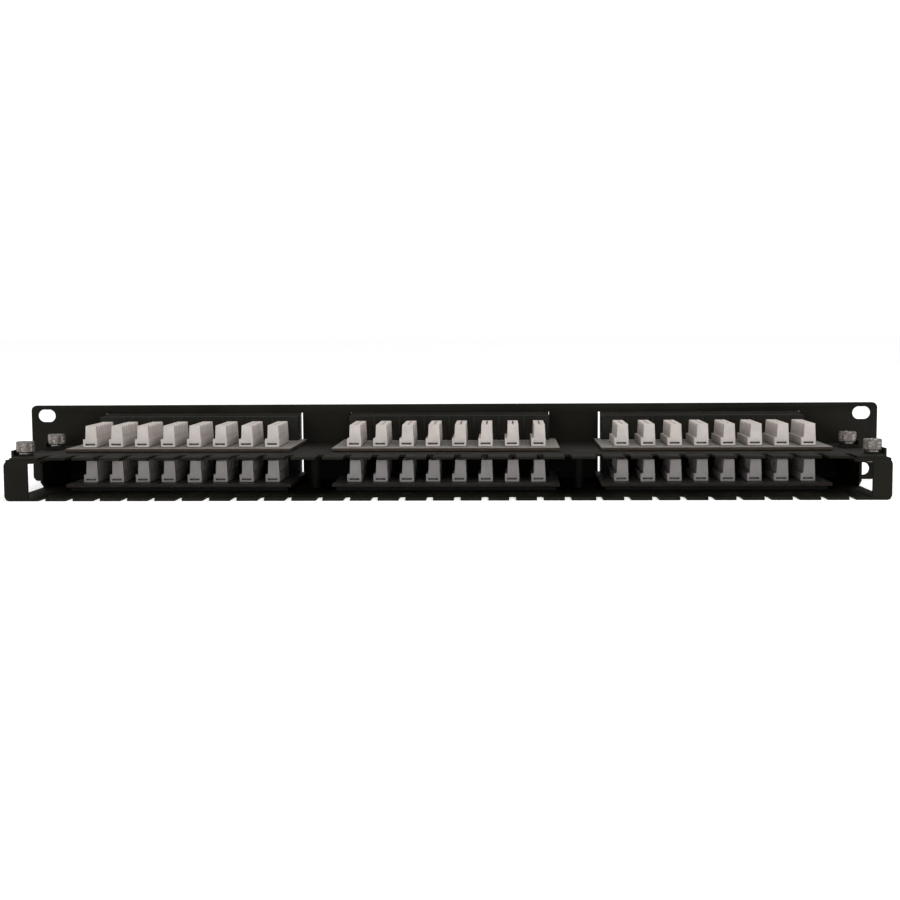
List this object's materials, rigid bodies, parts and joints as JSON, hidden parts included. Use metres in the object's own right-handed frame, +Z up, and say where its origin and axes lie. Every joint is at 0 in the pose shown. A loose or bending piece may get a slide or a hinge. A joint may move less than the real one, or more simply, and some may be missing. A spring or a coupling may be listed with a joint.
{
  "type": "rack patch panel",
  "caption": "One-unit rack patch panel: steel front panel, two combed trays, jack strips in front and punch-down wire blocks behind, upper tray held by thumb screws.",
  "frame": {"origin": "centre of the four rack slots, on the front panel's rear face", "axes": "+X across the rack, +Y from the panel towards the rear, +Z up"},
  "size_m": [0.4826, 0.102, 0.0436],
  "materials": {
    "panel_paint": "fine-textured black powder coat",
    "tray_paint": "satin black powder coat",
    "zinc": "bright zinc plate",
    "fixing_steel": "zinc-plated countersunk screw",
    "circuit_board": "white solder mask, lightly speckled",
    "insulator_film": "black insulating sheet",
    "jack_plastic": "moulded black plastic",
    "spring_gold": "gold-plated spring wire",
    "block_plastic": "moulded warm white plastic",
    "fork_tin": "tin-plated bronze",
    "washer_plastic": "black nylon"
  },
  "bodies": {
    "chassis": {"front_panel": "panel_paint", "lower_tray": "tray_paint", "side_bracket_left": "tray_paint", "side_bracket_right": "tray_paint", "support_posts": "tray_paint", "clinch_nuts": "zinc", "board_screws_lower": "fixing_steel", "board_lower_left": "circuit_board", "insulator_lower_left": "insulator_film", "jack_strip_lower_left": "jack_plastic", "jack_springs_lower_left": "spring_gold", "wire_blocks_lower_left": "block_plastic", "wire_forks_lower_left": "fork_tin", "board_lower_centre": "circuit_board", "insulator_lower_centre": "insulator_film", "jack_strip_lower_centre": "jack_plastic", "jack_springs_lower_centre": "spring_gold", "wire_blocks_lower_centre": "block_plastic", "wire_forks_lower_centre": "fork_tin", "board_lower_right": "circuit_board", "insulator_lower_right": "insulator_film", "jack_strip_lower_right": "jack_plastic", "jack_springs_lower_right": "spring_gold", "wire_blocks_lower_right": "block_plastic", "wire_forks_lower_right": "fork_tin"},
    "upper_shelf": {"upper_tray": "tray_paint", "board_screws_upper": "fixing_steel", "board_upper_left": "circuit_board", "insulator_upper_left": "insulator_film", "jack_strip_upper_left": "jack_plastic", "jack_springs_upper_left": "spring_gold", "wire_blocks_upper_left": "block_plastic", "wire_forks_upper_left": "fork_tin", "board_upper_centre": "circuit_board", "insulator_upper_centre": "insulator_film", "jack_strip_upper_centre": "jack_plastic", "jack_springs_upper_centre": "spring_gold", "wire_blocks_upper_centre": "block_plastic", "wire_forks_upper_centre": "fork_tin", "board_upper_right": "circuit_board", "insulator_upper_right": "insulator_film", "jack_strip_upper_right": "jack_plastic", "jack_springs_upper_right": "spring_gold", "wire_blocks_upper_right": "block_plastic", "wire_forks_upper_right": "fork_tin"},
    "washer_left_front": {"thumb_washer_left_front": "washer_plastic"},
    "screw_left_front": {"thumb_screw_left_front": "zinc"},
    "washer_left_rear": {"thumb_washer_left_rear": "washer_plastic"},
    "screw_left_rear": {"thumb_screw_left_rear": "zinc"},
    "washer_right_front": {"thumb_washer_right_front": "washer_plastic"},
    "screw_right_front": {"thumb_screw_right_front": "zinc"},
    "washer_right_rear": {"thumb_washer_right_rear": "washer_plastic"},
    "screw_right_rear": {"thumb_screw_right_rear": "zinc"}
  },
  "joints": [
    {"name": "upper_shelf_slide", "type": "slide", "parent": "chassis", "child": "upper_shelf", "axis": [0, 1, 0], "range_m": [0, 0.02]},
    {"name": "screw_left_front_rise", "type": "slide", "parent": "chassis", "child": "washer_left_front", "axis": [0, 0, 1], "range_m": [0, 0.0035]},
    {"name": "screw_left_front_turn", "type": "hinge", "parent": "washer_left_front", "child": "screw_left_front", "pos_m": [-0.2178, 0.0292, 0.0032], "axis": [0, 0, 1], "range_deg": [0, 1800]},
    {"name": "screw_left_rear_rise", "type": "slide", "parent": "chassis", "child": "washer_left_rear", "axis": [0, 0, 1], "range_m": [0, 0.0035]},
    {"name": "screw_left_rear_turn", "type": "hinge", "parent": "washer_left_rear", "child": "screw_left_rear", "pos_m": [-0.2178, 0.0815, 0.0032], "axis": [0, 0, 1], "range_deg": [0, 1800]},
    {"name": "screw_right_front_rise", "type": "slide", "parent": "chassis", "child": "washer_right_front", "axis": [0, 0, 1], "range_m": [0, 0.0035]},
    {"name": "screw_right_front_turn", "type": "hinge", "parent": "washer_right_front", "child": "screw_right_front", "pos_m": [0.2178, 0.0292, 0.0032], "axis": [0, 0, 1], "range_deg": [0, 1800]},
    {"name": "screw_right_rear_rise", "type": "slide", "parent": "chassis", "child": "washer_right_rear", "axis": [0, 0, 1], "range_m": [0, 0.0035]},
    {"name": "screw_right_rear_turn", "type": "hinge", "parent": "washer_right_rear", "child": "screw_right_rear", "pos_m": [0.2178, 0.0815, 0.0032], "axis": [0, 0, 1], "range_deg": [0, 1800]}
  ],
  "couplings": [
    {"joint": "screw_left_front_turn", "follows": "screw_left_front_rise", "rad_per_m": 8976},
    {"joint": "screw_left_rear_turn", "follows": "screw_left_rear_rise", "rad_per_m": 8976},
    {"joint": "screw_right_front_turn", "follows": "screw_right_front_rise", "rad_per_m": 8976},
    {"joint": "screw_right_rear_turn", "follows": "screw_right_rear_rise", "rad_per_m": 8976}
  ]
}
